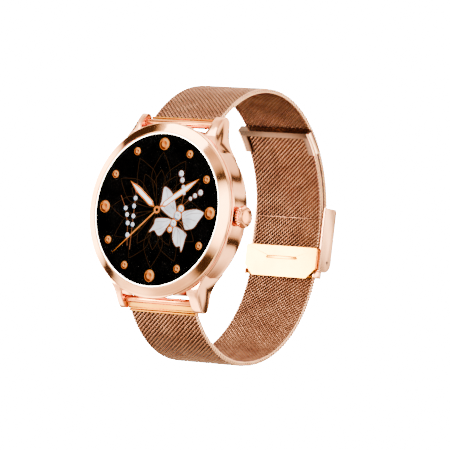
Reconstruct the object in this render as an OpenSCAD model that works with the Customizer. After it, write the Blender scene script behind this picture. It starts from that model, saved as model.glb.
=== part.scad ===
// Round smartwatch on a closed metal mesh strap.
// Millimetres. +X points to 3 o'clock, +Z to 12 o'clock and the dial faces -Y.
// The origin is the centre of the flat window on the case back, where a charger sits.

/* [Case] */
// Outside diameter of the bezel
case_d = 37.8; // [37.4:0.1:38.4]
// Height of the case from the back window to the bezel's top
case_h = 10; // [10:0.1:10.5]
// Diameter of the black screen
screen_d = 32.4; // [31:0.1:32.6]
// Width of the thin light rim round the screen
rim_w = 0.4; // [0.3:0.05:0.5]
// Height of the groove between bezel and case
groove_h = 8.3; // [8.2:0.05:8.4]
// Distance from the dial axis to each spring bar
lug_reach = 19; // [18.9:0.1:19.4]
// Width of one lug
lug_w = 2.8; // [2.4:0.1:3]

/* [Crown] */
// Outside diameter of the crown
crown_d = 4.7; // [4:0.1:5]
// Number of flutes round the crown
flute_n = 24; // [18:1:30]
// Height of the crown's axis over the case back
crown_h = 5.6; // [5.4:0.1:5.8]
// Travel of the crown when it is pressed

/* [Strap] */
// Width of the mesh strap
strap_w = 18; // [17.6:0.1:18]
// Thickness of the mesh
mesh_t = 1.2; // [1:0.1:1.2]
// Gap between the two layers of mesh at the back
layer_gap = 0.3; // [0.3:0.05:0.5]
// Half depth of the upper arch, from front to back
arch_a = 24.8; // [24.6:0.1:25]
// Half height of the upper arch
arch_b = 28.75; // [28:0.25:29.5]

/* [Clasp] */
// Length of the clasp cover
cover_l = 14.2; // [13.8:0.1:15]
// Thickness of the clasp cover's sheet
cover_t = 0.8; // [0.6:0.1:1]
// Length of the lock plate
plate_l = 7; // [6.6:0.1:7.2]
// Thickness of the lock plate
plate_t = 0.6; // [0.5:0.05:0.65]
// Length of the tail keeper's legs
keeper_turn = 14; // [10:1:16]

/* [Hidden] */
$fn = 96;
case_r = case_d / 2;
screen_r = screen_d / 2;
rim_r = screen_r + rim_w;
shell_r = 16.4;                        // inside of the case wall
back_r = 17.3;
window_r = 10;
ledge_h = 1.8;                         // where the back cover meets the case
glass_h0 = 8.8;
board_h0 = 6.9;
cell_size = [16, 16, 3];
cell_at = [-3, 0, 2.5];
motor_r = 3.5;
motor_at = [9.2, -4.4, 2.5];
screw_at = [10.9, 9.7];
stem_r = 0.9;
fit = 0.05;                            // radial running clearance
bar_h = 4.8;                           // spring bar over the case back
bar_y = -bar_h;
hole_r = 0.5;
hole_depth = 1.5;
tip_r = hole_r - fit;
lug_in = strap_w / 2 + 0.2;
sleeve_r = 1.05;
bore_r = 0.75;
half_w = strap_w / 2;
arch_y = 14.9;                         // centre of the upper arch
arch_z = 1;
arch_start = 136;
bowl_y = 13.5;                         // centre of the lower bowl
bowl_z = -5;
bowl_front = 22.3;
bowl_back = arch_y + arch_a - mesh_t - layer_gap - bowl_y;
bowl_b = 25.6;
bowl_start = 222;
tail_off = -mesh_t - layer_gap;
tail_end = 52;
back_y = arch_y + arch_a;              // outer face of the outer layer
tail_y = back_y + tail_off;            // outer face of the inner layer
upper_end = -2.6;
cover_gap = 0.4;
cover_top = 6.7;
wing_x0 = half_w + 0.7;
wing_x1 = wing_x0 + 0.6;
pin_y = 39.2 + back_y - 39.7;
pin_z = -5.2;
pin_r = 0.4;
plate_top = -2.3;
plate_y = tail_y - mesh_t - 0.4;       // strap side of the lock plate
knuckle_r = 0.42;
plate_pin = [plate_y - plate_t / 2 - 0.2, plate_top - plate_l + knuckle_r];
plate_pin_r = 0.25;
plate_slot = [0.25, 2.6, 3.85, 0.3];      // centre across, drop from the top, half length, end radius
ear_top = plate_pin[1] + 1.3;
ear_low = -9.4;
ear_in = 1.05;                         // reach of the side walls past the lock plate
crown_grip = 1.25;                      // fluted length
crown_dome = 0.65;                      // rise of the end cap
wing_in = 0.3;                          // reach of the cover's wings past the strap
sole_top = -3.6;
sole_low = -9;
sole_in = 0.08;
sole_out = 0.5;
switch_x = 11.2;                       // back face of the crown switch
strap_gap_wall = 17.55;                // case wall between the lugs, from the dial axis
rose = "#e0a383";
rose_pale = "#efc6ad";
orange_rose = "#e58a4e";
pale_gold = "#f3dda6";
mesh_brown = "#b0714f";
steel = "#b9bcc0";

// Turns a piece drawn lying on its back, dial up, so that the dial faces -Y
module facing() { rotate([90, 0, 0]) children(); }

// Puts a side outline drawn as (y, z) between two places across the watch
module slab(x0, x1) {
    translate([x0, 0, 0]) rotate([90, 0, 90]) linear_extrude(x1 - x0) children();
}

// Puts a cylinder along X, with its axis at (y, z)
module rod(x0, x1, at, r) {
    translate([x0, at[0], at[1]]) rotate([0, 90, 0]) cylinder(r = r, h = x1 - x0);
}

module ring(r0, r1, h0, h1) {
    translate([0, 0, h0]) difference() {
        cylinder(r = r1, h = h1 - h0);
        translate([0, 0, -1]) cylinder(r = r0, h = h1 - h0 + 2);
    }
}

// Does the same thing to both sides, left and right
module both_sides() {
    children();
    mirror([1, 0, 0]) children();
}

// A point on an ellipse with its outward normal
function on_ellipse(c, a, b, t) = let(
    n = [cos(t) / a, sin(t) / b])
    [c + [a * cos(t), b * sin(t)], n / norm(n)];
function shifted(p, off) = p[0] + off * p[1];
function arch(t) = on_ellipse([arch_y, arch_z], arch_a, arch_b, t);
function bowl(t) = on_ellipse([bowl_y, bowl_z], t < 270 ? bowl_front : bowl_back, bowl_b, t);

// The strap's outer line as [point, normal] pairs
upper_line = concat([for (t = [arch_start:-4:0]) arch(t)], [[[back_y, upper_end], [1, 0]]]);
tail_line = [for (t = [0:4:tail_end]) let(p = arch(t)) [shifted(p, tail_off), p[1]]];
lower_line = concat([for (t = [bowl_start:4:358]) bowl(t)], [bowl(360)], tail_line);

// Closes a line into a ribbon between two offsets from it
function ribbon(line, off0, off1) = concat(
    [for (p = line) shifted(p, off0)],
    [for (i = [len(line) - 1:-1:0]) shifted(line[i], off1)]);

module bezel() {
    color(rose) facing() rotate_extrude() polygon([
        [rim_r + 0.02, case_h - 0.15], [rim_r + 0.25, case_h], [rim_r + 0.7, case_h - 0.02],
        [case_r - 0.45, case_h - 0.75], [case_r - 0.12, case_h - 1.05], [case_r, case_h - 1.35],
        [case_r, groove_h + 0.12], [case_r - 0.25, groove_h], [shell_r + 0.6, groove_h],
        [shell_r + 0.6, glass_h0 - 0.02], [rim_r + 0.02, glass_h0 - 0.02]]);
}

module screen_rim() {
    color("white") facing() ring(screen_r + 0.01, rim_r, glass_h0, case_h - 0.12);
}

module cover_glass() {
    color("black") facing() ring(0, screen_r, glass_h0, case_h - 0.15);
}

module display_panel() {
    color("#202024") facing() translate([0, 0, 7.75]) cylinder(r = 15.6, h = 1);
}

module display_seal() {
    color("#303030") facing() ring(15.7, shell_r - 0.1, glass_h0 - 0.45, glass_h0 - 0.02);
}

// Side outline of one lug as (height over the back, distance from the dial axis)
function lug_outline() = [
    [7.9, 12], [7.85, 16], [7.5, 17.3], [6.75, 18.8], [5.9, 20], [5.1, 20.8], [4.5, 21.05],
    [3.9, 20.95], [3.4, 20.5], [3.15, 19.8], [3.1, 17.5], [2.9, 15.6], [2.2, 12]];

module lug() {
    slab(lug_in, lug_in + lug_w) polygon([for (p = lug_outline()) [-p[0], p[1]]]);
}

module mid_case() {
    color(rose) difference() {
        union() {
            facing() rotate_extrude() polygon([
                [shell_r, ledge_h], [back_r, ledge_h], [case_r - 0.9, 2.3], [case_r - 0.2, 3.2],
                [case_r, 4.2], [case_r - 0.1, 6.2], [case_r, 7.7], [case_r - 0.1, groove_h - 0.25],
                [case_r - 0.5, groove_h - 0.1], [shell_r, groove_h - 0.1]]);
            both_sides() {
                lug();
                mirror([0, 0, 1]) lug();
            }
        }
        facing() translate([0, 0, ledge_h - 1]) cylinder(r = shell_r, h = case_h);
        both_sides() for (s = [-1, 1])
            rod(lug_in - 1, lug_in + hole_depth, [bar_y, s * lug_reach], hole_r);
        for (s = [-1, 1]) {
            rod(-lug_in, lug_in, [bar_y, s * lug_reach], lug_reach - strap_gap_wall);
            translate([-lug_in, -6.2, s > 0 ? strap_gap_wall : -strap_gap_wall - 5])
                cube([2 * lug_in, 6, 5]);
        }
        rod(shell_r - 1, case_r + 1, [-crown_h, 0], 1.5);
    }
}

module case_back() {
    color(rose_pale) facing() difference() {
        union() {
            rotate_extrude() polygon([
                [window_r + 0.1, 0.5], [14.8, 0.5], [back_r, 1.5], [back_r, ledge_h],
                [window_r + 0.1, ledge_h]]);
            ring(shell_r - 1.6, shell_r - 0.15, ledge_h, ledge_h + 0.35);
        }
        for (x = [-1, 1], y = [-1, 1]) translate([x * screw_at[0], y * screw_at[1], -1]) {
            cylinder(r = 0.65, h = 4);
            cylinder(r = 1.15, h = 2.1);
        }
        for (x = [-1.5, 1.5]) translate([x, -12.6, -1]) cylinder(r = 0.8, h = 4);
    }
}

module back_seal() {
    color("#2a2a2a") facing() ring(shell_r - 0.13, shell_r - 0.01, ledge_h + 0.02, ledge_h + 0.4);
}

module back_screws() {
    color(steel) facing() for (x = [-1, 1], y = [-1, 1])
        translate([x * screw_at[0], y * screw_at[1], 0]) difference() {
            union() {
                translate([0, 0, 1.12]) cylinder(r = 0.6, h = 3);
                translate([0, 0, 0.6]) cylinder(r = 1.1, h = 0.5);
                translate([0, 0, 1.1]) cylinder(r = 0.6, h = 0.1);
            }
            translate([-0.7, -0.12, 0.5]) cube([1.4, 0.24, 0.3]);
            translate([-0.12, -0.7, 0.5]) cube([0.24, 1.4, 0.3]);
        }
}

module sensor_window() {
    color("#15171c") facing() ring(0, window_r, 0, 1.5);
}

module sensor_board() {
    color("#1e5a3a") facing() {
        translate([0, 0, 1.75]) cylinder(r = 8.4, h = 0.4);
        for (a = [0:90:270]) rotate(a) translate([3.4, -0.6, 1.55]) cube([1.2, 1.2, 0.2]);
        translate([-1, -1, 1.55]) cube([2, 2, 0.2]);
    }
}

module charge_contacts() {
    color("gold") facing() for (x = [-1.5, 1.5])
        translate([x, -12.6, 0.45]) cylinder(r = 0.75, h = 1.6);
}

module inner_frame() {
    color("#3a3d42") facing() difference() {
        union() {
            ring(15, shell_r - 0.2, 2.3, 7.6);
            for (x = [-1, 1], y = [-1, 1])
                translate([x * screw_at[0], y * screw_at[1], 2.3]) cylinder(r = 1.3, h = 4.2);
        }
        for (x = [-1, 1], y = [-1, 1])
            translate([x * screw_at[0], y * screw_at[1], 1]) cylinder(r = 0.65, h = 3.6);
        translate([12, -2.2, 3.6]) cube([6, 4.4, 6]);
    }
}

module battery() {
    color("#c9ccd2") facing() translate(cell_at - [cell_size[0] / 2, cell_size[1] / 2, 0])
        cube(cell_size);
}

module vibration_motor() {
    color(steel) facing() translate(motor_at) cylinder(r = motor_r, h = 2.6);
}

module main_board() {
    color("#17583f") facing() difference() {
        translate([0, 0, board_h0]) cylinder(r = 14.8, h = 0.6);
        translate([switch_x, -2.2, board_h0 - 1]) cube([7.2, 4.4, 3]);
    }
}

module board_chips() {
    color("#222222") facing() {
        translate([-8, -4, board_h0 - 0.9]) cube([6, 6, 0.9]);
        translate([1, -4, board_h0 - 0.8]) cube([4, 5, 0.8]);
        translate([-4, 5, board_h0 - 0.7]) cube([7, 3, 0.7]);
    }
}

// The crown's own frame: its axis is +Z and its foot is at zero
module on_crown(x) {
    translate([x, -crown_h, 0]) rotate([0, 90, 0]) children();
}

module crown() {
    color(rose) on_crown(case_r + 0.45) difference() {
        union() {
            cylinder(r = crown_d / 2 - 0.12, h = crown_grip);
            for (i = [0:flute_n - 1]) rotate(i * 360 / flute_n)
                translate([crown_d / 2 - 0.15, 0, 0.25]) cylinder(r = 0.15, h = crown_grip - 0.4, $fn = 16);
            translate([0, 0, crown_grip]) rotate_extrude() polygon(concat([[0, 0]],
                [for (t = [0:15:90]) [(crown_d / 2 - 0.15) * cos(t), crown_dome * sin(t)]]));
        }
        translate([0, 0, -1]) cylinder(r = stem_r, h = 2.2);
    }
}

module crown_stem() {
    color(steel) on_crown(12.9) cylinder(r = stem_r, h = case_r + 0.45 + 1.2 - 12.9);
}

module crown_tube() {
    color(steel) on_crown(15.7) difference() {
        cylinder(r = 1.48, h = case_r - 15.7 - 0.1);
        translate([0, 0, -1]) cylinder(r = stem_r + fit, h = 9);
        translate([0, 0, case_r - 15.7 - 0.8]) cylinder(r = 1.3, h = 2);
    }
}

module crown_seal() {
    color("#2a2a2a") on_crown(case_r - 0.78) ring(stem_r + fit, 1.29, 0, 0.5);
}

module crown_clip() {
    color(steel) on_crown(15.25) ring(stem_r + fit, 1.7, 0, 0.35);
}

module switch_plunger() {
    color("#e8e8e8") on_crown(12) cylinder(r = 0.6, h = 0.88);
}

module crown_switch() {
    color("#2b2b2b") on_crown(switch_x) difference() {
        translate([-1.4, -1.6, 0]) cube([2.8, 3.2, 1.3]);
        translate([0, 0, 0.4]) cylinder(r = 0.6 + fit, h = 3);
    }
}

// Strap end at the spring bar: s is 1 for the upper strap and -1 for the lower
module sleeve(s) {
    color(orange_rose) difference() {
        rod(-half_w + 0.1, half_w - 0.1, [bar_y, s * lug_reach], sleeve_r);
        rod(-half_w - 1, half_w + 1, [bar_y, s * lug_reach], bore_r);
    }
}

module clamp(start, s) {
    along = [-start[1][1], start[1][0]] * s;
    foot = shifted(start, -mesh_t / 2);
    color(pale_gold) difference() {
        slab(-half_w, half_w) polygon([
            foot + 1.0 * start[1] + 0.02 * along, foot + 1.0 * start[1] + 0.65 * along,
            foot + 0.75 * start[1] + 0.8 * along, foot + 0.95 * start[1] + 0.95 * along,
            foot + 0.95 * start[1] + 1.5 * along, [bar_y + 0.3, s * (lug_reach + 0.6)],
            [bar_y + 0.5, s * (lug_reach - 0.3)], foot - 0.95 * start[1] + 1.5 * along,
            foot - 0.95 * start[1] + 0.02 * along]);
        rod(-half_w - 1, half_w + 1, [bar_y, s * lug_reach], sleeve_r);
    }
}

module bar_spring(s) {
    color(steel) difference() {
        rod(-3.4, 3.4, [bar_y, s * lug_reach], bore_r - 0.05);
        rod(-4, 4, [bar_y, s * lug_reach], 0.45);
    }
}

module bar_tip(s) {
    at = [bar_y, s * lug_reach];
    color(steel) {
        rod(half_w - 0.6, lug_in + 1.2, at, tip_r);
        rod(half_w - 3.6, half_w - 0.6, at, bore_r - fit);
        rod(half_w - 5.8, half_w - 3.6, at, 0.35);
    }
}

module upper_strap() {
    color(mesh_brown) slab(-half_w, half_w) polygon(ribbon(upper_line, 0, -mesh_t));
}

module lower_strap() {
    color(mesh_brown) slab(-half_w, half_w) polygon(ribbon(lower_line, 0, -mesh_t));
}

// A piece of sheet that follows the tail between two turns of the arch
function tail_sheet(t0, t1, off0, off1) =
    ribbon([for (i = [0:6]) arch(t0 + (t1 - t0) * i / 6)], tail_off + off0, tail_off + off1);

// Three-sided frame on the tail's tip: a bar across, two legs and a flange on each side
module tail_keeper() {
    low = tail_end - keeper_turn + 1.4;
    color(rose) difference() {
        slab(-half_w - 0.6, half_w + 0.6)
            polygon(tail_sheet(low, tail_end + 1.2, 0, -mesh_t - 0.45));
        slab(-half_w - 0.04, half_w + 0.04)
            polygon(tail_sheet(low - 4, tail_end + 0.1, 1, -mesh_t - 0.04));
        slab(-half_w + 0.7, half_w - 0.7)
            polygon(tail_sheet(low - 4, tail_end - 2.4, 1, -mesh_t - 2));
    }
}

// Folded strip that closes the end of the upper strap
module strap_end_bar() {
    y0 = back_y - mesh_t - 0.12;
    color(rose) slab(-half_w + 0.1, half_w - 0.1) polygon([
        [y0, upper_end + 0.9], [back_y - mesh_t - 0.02, upper_end + 0.9],
        [back_y - mesh_t - 0.02, upper_end - 0.02], [back_y + 0.02, upper_end - 0.02],
        [back_y + 0.02, upper_end + 0.9], [back_y + 0.14, upper_end + 0.9],
        [back_y + 0.14, upper_end - 0.6], [y0, upper_end - 0.6]]);
}

// Sole and side walls that grip the lower strap, with the barrel for the cover's pin
module clasp_base() {
    color(rose) difference() {
        union() {
            slab(-half_w - 0.6, half_w + 0.6) polygon([
                [tail_y + sole_in, sole_top], [tail_y + sole_out, sole_top],
                [tail_y + sole_out, sole_low], [tail_y + sole_in, sole_low]]);
            rod(-half_w - 0.6, half_w + 0.6, [pin_y, pin_z], 0.72);
            both_sides() slab(half_w + 0.15, half_w + 0.6) polygon([
                [tail_y + sole_out, sole_top], [plate_y + 0.15, sole_top], [plate_y + 0.15, ear_top],
                [plate_y - ear_in, ear_top], [plate_y - ear_in, ear_low], [tail_y + sole_out, ear_low]]);
        }
        rod(-half_w - 2, half_w + 2, [pin_y, pin_z], pin_r);
        rod(-half_w - 2, half_w + 2, plate_pin, plate_pin_r);
    }
}

// Cover that folds over both layers and snaps shut, with a wing on each side
module clasp_cover() {
    top = cover_top;
    low = cover_top - cover_l;
    out = back_y + cover_gap + cover_t;
    in = tail_y - mesh_t - wing_in;
    color(rose_pale) difference() {
        union() {
            slab(-wing_x1, wing_x1) polygon([
                [back_y + cover_gap, pin_z - 0.1], [out, pin_z - 0.1], [out, top - 1.2],
                [out - 0.35, top - 0.35], [out - cover_t, top]]);
            both_sides() slab(wing_x0, wing_x1) polygon([
                [in, top], [out - 1.2, top], [out - 0.35, top - 0.35], [out, top - 1.2],
                [out, low + 2.4], [out - 0.5, low + 1.3], [out - 1.4, low + 0.4],
                [out - 2.6, low], [in, low]]);
        }
        rod(-wing_x1 - 1, wing_x1 + 1, [pin_y, pin_z], pin_r + fit);
    }
}

module cover_pin() {
    color(steel) rod(-wing_x1, wing_x1, [pin_y, pin_z], pin_r);
}

module lock_plate() {
    half = half_w + 0.65;
    high = plate_top - plate_pin[1];
    cut = 2.2;
    color(pale_gold) difference() {
        union() {
            translate([0, plate_y, plate_pin[1]]) rotate([90, 0, 0]) linear_extrude(plate_t)
                polygon([[-half + cut, 0], [half - cut, 0], [half, cut], [half, high],
                    [-half, high], [-half, cut]]);
            rod(-half_w + 0.2, half_w - 0.2, plate_pin, knuckle_r);
        }
        rod(-half - 1, half + 1, plate_pin, plate_pin_r + fit);
        translate([plate_slot[0], plate_y + 1, plate_top - plate_slot[1]]) rotate([90, 0, 0]) linear_extrude(3) {
            square([2 * plate_slot[2], 2 * plate_slot[3]], center = true);
            for (x = [-1, 1]) translate([x * plate_slot[2], 0]) circle(r = plate_slot[3], $fn = 24);
        }
    }
}

module lock_plate_pin() {
    color(steel) rod(-half_w - 0.6, half_w + 0.6, plate_pin, plate_pin_r);
}

bezel();
screen_rim();
cover_glass();
display_panel();
display_seal();
mid_case();
case_back();
back_seal();
back_screws();
sensor_window();
sensor_board();
charge_contacts();
inner_frame();
battery();
vibration_motor();
main_board();
board_chips();
crown();
crown_stem();
crown_tube();
crown_seal();
crown_clip();
switch_plunger();
crown_switch();
sleeve(1);  // upper_sleeve
sleeve(-1);  // lower_sleeve
clamp(arch(arch_start), 1);  // upper_clamp
clamp(bowl(bowl_start), -1);  // lower_clamp
bar_spring(1);  // upper_bar_spring
bar_spring(-1);  // lower_bar_spring
mirror([1, 0, 0]) bar_tip(1);  // upper_bar_tip_left
bar_tip(1);  // upper_bar_tip_right
mirror([1, 0, 0]) bar_tip(-1);  // lower_bar_tip_left
bar_tip(-1);  // lower_bar_tip_right
upper_strap();
lower_strap();
tail_keeper();
strap_end_bar();
clasp_base();
clasp_cover();
cover_pin();
lock_plate();
lock_plate_pin();
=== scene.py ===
import math

import bpy
import bmesh
import numpy as np
from mathutils import Matrix, Vector
from mathutils.geometry import tessellate_polygon


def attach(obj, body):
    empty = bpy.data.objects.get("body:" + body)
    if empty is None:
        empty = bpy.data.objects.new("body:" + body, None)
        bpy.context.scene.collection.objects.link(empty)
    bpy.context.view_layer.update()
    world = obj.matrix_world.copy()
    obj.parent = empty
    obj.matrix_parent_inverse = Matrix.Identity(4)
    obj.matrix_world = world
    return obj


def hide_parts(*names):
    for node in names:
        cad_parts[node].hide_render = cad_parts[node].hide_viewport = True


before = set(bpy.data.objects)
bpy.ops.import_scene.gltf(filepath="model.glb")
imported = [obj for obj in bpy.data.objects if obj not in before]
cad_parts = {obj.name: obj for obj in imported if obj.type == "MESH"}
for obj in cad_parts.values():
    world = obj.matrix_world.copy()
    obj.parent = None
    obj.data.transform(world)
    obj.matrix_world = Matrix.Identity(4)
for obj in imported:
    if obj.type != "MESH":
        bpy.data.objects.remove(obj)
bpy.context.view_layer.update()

# ---------------------------------------------------------------------------
# Axes: X to three o'clock, -Y out of the dial, Z to twelve o'clock. Design
# sizes are in millimetres and MM turns them into metres. h is the height
# above the case back, so y = -h.
# ---------------------------------------------------------------------------
MM = 0.001
HALF_W = 9.0
MESH_T = 1.2
BAR_Y, LUG_REACH = -4.8, 19.0


# --- Camera, floor and light ------------------------------------------------
# A long lens looks at the watch from the front right and slightly below. The
# floor is a pale plane that clears the lower strap over its whole swing.
def basis(azimuth, elevation, roll):
    """Back, right and up vectors of a camera round Z, turned by roll about its own axis."""
    a, e, r = (math.radians(v) for v in (azimuth, elevation, roll))
    back = Vector((math.sin(a) * math.cos(e), -math.cos(a) * math.cos(e), math.sin(e)))
    side = Vector((0, 0, 1)).cross(back).normalized()
    up = back.cross(side)
    return back, math.cos(r) * side + math.sin(r) * up, math.cos(r) * up - math.sin(r) * side


back, right, up = basis(37.25, -3.61, 6.645)
VIEW_WIDTH = 95.6226                        # what the camera spans at the watch
distance = 1100.0
aim = Vector((0, -10, 0)) + right * 14.627 - up * 3.288
camera = bpy.data.objects.new("camera", bpy.data.cameras.new("camera"))
eye = aim + back * distance
camera.matrix_world = Matrix([(right[i], up[i], back[i], eye[i] * MM) for i in range(3)] + [(0, 0, 0, 1)])
camera.data.sensor_width = 36.0
camera.data.lens = 36 * distance / VIEW_WIDTH
camera.data.clip_start, camera.data.clip_end = 0.05, 20.0
bpy.context.scene.collection.objects.link(camera)
bpy.context.scene.camera = camera


def linear(code, alpha=1.0):
    """sRGB hex code to a linear RGBA tuple."""
    rgb = [int(code[i:i + 2], 16) / 255 for i in (1, 3, 5)]
    return tuple(v / 12.92 if v <= 0.04045 else ((v + 0.055) / 1.055) ** 2.4 for v in rgb) + (alpha,)


def add(tree, kind, settings=None, links=None):
    """Adds a node. Settings go to its fields or sockets, stops are (position, hex) pairs for a colour ramp, and
    links join its sockets to outputs."""
    node = tree.nodes.new(kind)
    for key, value in (settings or {}).items():
        if key == "stops":
            band = node.color_ramp
            while len(band.elements) < len(value):
                band.elements.new(0.5)
            for element, (place, code) in zip(band.elements, value):
                element.position, element.color = place, linear(code)
        elif isinstance(key, str) and hasattr(node, key):
            setattr(node, key, value)
        else:
            node.inputs[key].default_value = value
    for key, output in (links or {}).items():
        tree.links.new(output, node.inputs[key])
    return node


def new_material(name):
    """An empty node material and its tree."""
    mat = bpy.data.materials.new(name)
    mat.use_nodes = True
    mat.node_tree.nodes.clear()
    return mat, mat.node_tree


def to_surface(tree, shader):
    add(tree, "ShaderNodeOutputMaterial", links={"Surface": shader})


WHITE_LEVEL = 60.0
world = bpy.data.worlds.new("studio")
world.use_nodes = True
tree = world.node_tree
tree.nodes.clear()
coords = add(tree, "ShaderNodeTexCoord")
axes = add(tree, "ShaderNodeSeparateXYZ", links={"Vector": coords.outputs["Generated"]})
height = add(tree, "ShaderNodeMapRange", {"From Min": -1.0, "From Max": 1.0}, {"Value": axes.outputs["Z"]})
side = add(tree, "ShaderNodeMapRange", {"From Min": -1.0, "From Max": 1.0}, {"Value": axes.outputs["X"]})
behind = add(tree, "ShaderNodeMapRange", {"From Min": -0.1, "From Max": 0.1}, {"Value": axes.outputs["Y"]})
front_bands = add(tree, "ShaderNodeValToRGB", {"stops": (
    (0.0, "#3a2f29"), (0.07, "#6b6058"), (0.11, "#ffffff"), (0.16, "#d8d2ca"), (0.19, "#a0978e"), (0.24, "#f0ebe4"), (0.34, "#ffffff"),
    (0.50, "#ffffff"), (0.66, "#f0ebe4"), (0.76, "#c4bbb2"), (0.80, "#a0978e"), (0.84, "#ffffff"), (0.90, "#c4bbb2"), (1.0, "#6b6058"))},
    {"Fac": height.outputs["Result"]}).outputs[0]
cards = add(tree, "ShaderNodeValToRGB", {"stops": (
    (0.0, "#ffffff"), (0.22, "#ffffff"), (0.34, "#e0dad3"), (0.45, "#cfc8c0"), (0.56, "#ffffff"), (0.82, "#ffffff"), (0.88, "#4a3e37"),
    (1.0, "#cfc8c0"))}, {"Fac": side.outputs["Result"]}).outputs[0]
back_bands = add(tree, "ShaderNodeValToRGB", {"stops": (
    (0.0, "#8c857d"), (0.20, "#5a4e46"), (0.26, "#ffffff"), (0.31, "#ffffff"), (0.34, "#1a1310"), (0.375, "#1a1310"), (0.41, "#cfc8c0"),
    (0.46, "#8c8279"), (0.50, "#f0ebe4"), (0.615, "#231b17"), (0.645, "#231b17"), (0.67, "#ffffff"), (0.725, "#f0ebe4"), (0.74, "#1a1310"),
    (0.762, "#1a1310"), (0.78, "#cfc8c0"), (0.9, "#ffffff"), (1.0, "#cfc8c0"))},
    {"Fac": height.outputs["Result"]}).outputs[0]
front = add(tree, "ShaderNodeMix", {"data_type": "RGBA", "blend_type": "MULTIPLY", 0: 0.9}, {6: front_bands, 7: cards})
sky = add(tree, "ShaderNodeMix", {"data_type": "RGBA"}, {0: behind.outputs["Result"], 6: front.outputs[2], 7: back_bands})


def spot(sky, toward, start, full, colour):
    """Blends a round patch of colour into the sky around a direction, from cosine start to cosine full."""
    lean = add(tree, "ShaderNodeVectorMath", {"operation": "DOT_PRODUCT", 1: toward}, {0: coords.outputs["Generated"]})
    inside = add(tree, "ShaderNodeMapRange", {"From Min": start, "From Max": full}, {"Value": lean.outputs["Value"]})
    return add(tree, "ShaderNodeMix", {"data_type": "RGBA", 7: colour}, {0: inside.outputs["Result"], 6: sky.outputs[2]})


for toward, size in (((-0.817, -0.243, 0.52), 0.975), ((-0.96, -0.16, -0.235), 0.98), ((0.18, -0.92, 0.35), 0.985),
                     ((0.044, -0.894, -0.444), 0.988)):
    sky = spot(sky, toward, size - 0.02, size + 0.005, linear("#1f1713"))
seen = add(tree, "ShaderNodeLightPath")
for toward, size, power in (((0.254, -0.966, 0.063), 0.965, 3.2), ((-0.997, -0.013, 0.063), 0.95, 3.2),
                            ((-0.6, -0.28, -0.745), 0.955, 2.2), ((0.8, 0.6, 0.06), 0.96, 2.4)):
    sky = spot(sky, toward, size - 0.03, size + 0.02, (power, power * 0.98, power * 0.92, 1))
warm = add(tree, "ShaderNodeMix", {"data_type": "RGBA", "blend_type": "MULTIPLY", 0: 1.0, 7: linear("#fff2da")}, {6: sky.outputs[2]})
soft = add(tree, "ShaderNodeBackground", {"Strength": 5.6}, {"Color": warm.outputs[2]})
plain = add(tree, "ShaderNodeBackground", {"Color": (1, 1, 1, 1), "Strength": WHITE_LEVEL})
mixed = add(tree, "ShaderNodeMixShader", links={0: seen.outputs["Is Camera Ray"], 1: soft.outputs[0], 2: plain.outputs[0]})
add(tree, "ShaderNodeOutputWorld", links={"Surface": mixed.outputs[0]})
bpy.context.scene.world = world

floor_paint, tree = new_material("studio_floor")
coords = add(tree, "ShaderNodeTexCoord")
mottle = add(tree, "ShaderNodeTexNoise", {"Scale": 8.0, "Detail": 3.0}, {"Vector": coords.outputs["Object"]})
paper = add(tree, "ShaderNodeValToRGB", {"stops": ((0.3, "#e9e7e4"), (0.7, "#f1efec"))}, {"Fac": mottle.outputs[0]})
matte = add(tree, "ShaderNodeBsdfDiffuse", links={"Color": paper.outputs[0]})
lit = add(tree, "ShaderNodeEmission", {"Color": (1, 1, 1, 1), "Strength": WHITE_LEVEL})
seen = add(tree, "ShaderNodeLightPath")
mixed = add(tree, "ShaderNodeMixShader", links={0: seen.outputs["Is Camera Ray"], 1: matte.outputs[0], 2: lit.outputs[0]})
to_surface(tree, mixed.outputs[0])

CLEARANCE, FLOOR_HALF, FULL_SWING = 0.3, 600, 12
floor_up = Vector((0.0345, -0.2315, 0.9714)).normalized()


def strap_low(t, x, swing):
    """A point on the lower strap's outer line, turned by swing degrees about the lower spring bar."""
    c, s = math.cos(math.radians(swing)), math.sin(math.radians(swing))
    y = 13.5 + (22.3 if t < 270 else 24.7) * math.cos(math.radians(t)) - BAR_Y
    z = -5 + 25.6 * math.sin(math.radians(t)) + LUG_REACH
    return Vector((x, y * c + z * s + BAR_Y, z * c - y * s - LUG_REACH))


lowest = min(floor_up.dot(strap_low(t, x, swing)) for t in range(222, 361) for x in (-HALF_W, HALF_W) for swing in (0, FULL_SWING))
across = floor_up.cross(Vector((0, 1, 0))).normalized()
along = floor_up.cross(across)
middle = Vector((0, 15, 0))
corners = [(floor_up * (lowest - CLEARANCE) + middle - floor_up * floor_up.dot(middle)
            + across * i * FLOOR_HALF + along * j * FLOOR_HALF) * MM for i, j in ((-1, -1), (1, -1), (1, 1), (-1, 1))]
sheet = bpy.data.meshes.new("floor")
sheet.from_pydata(corners, [], [(0, 1, 2, 3)])
sheet.materials.append(floor_paint)
floor = bpy.data.objects.new("floor", sheet)
bpy.context.scene.collection.objects.link(floor)
floor.visible_glossy = False


def softbox(name, place, size, power, tint="#ffffff"):
    """An area light at place, in millimetres, turned towards the middle of the watch."""
    lamp = bpy.data.lights.new(name, "AREA")
    lamp.shape, lamp.size, lamp.size_y = "RECTANGLE", size[0] * MM, size[1] * MM
    lamp.energy, lamp.color = power, linear(tint)[:3]
    box = bpy.data.objects.new(name, lamp)
    box.location = Vector(place) * MM
    box.rotation_mode = "QUATERNION"
    box.rotation_quaternion = (Vector((0, 12, 0)) - Vector(place)).to_track_quat("-Z", "Y")
    bpy.context.scene.collection.objects.link(box)


softbox("key_light", (-160, -260, 260), (220, 160), 1.6)
softbox("fill_light", (320, -120, 90), (160, 240), 0.9, "#fff6ea")
softbox("top_light", (40, 60, 330), (260, 200), 1.3)
softbox("low_light", (-230, -300, -10), (180, 120), 5.4, "#fff1e2")


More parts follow.
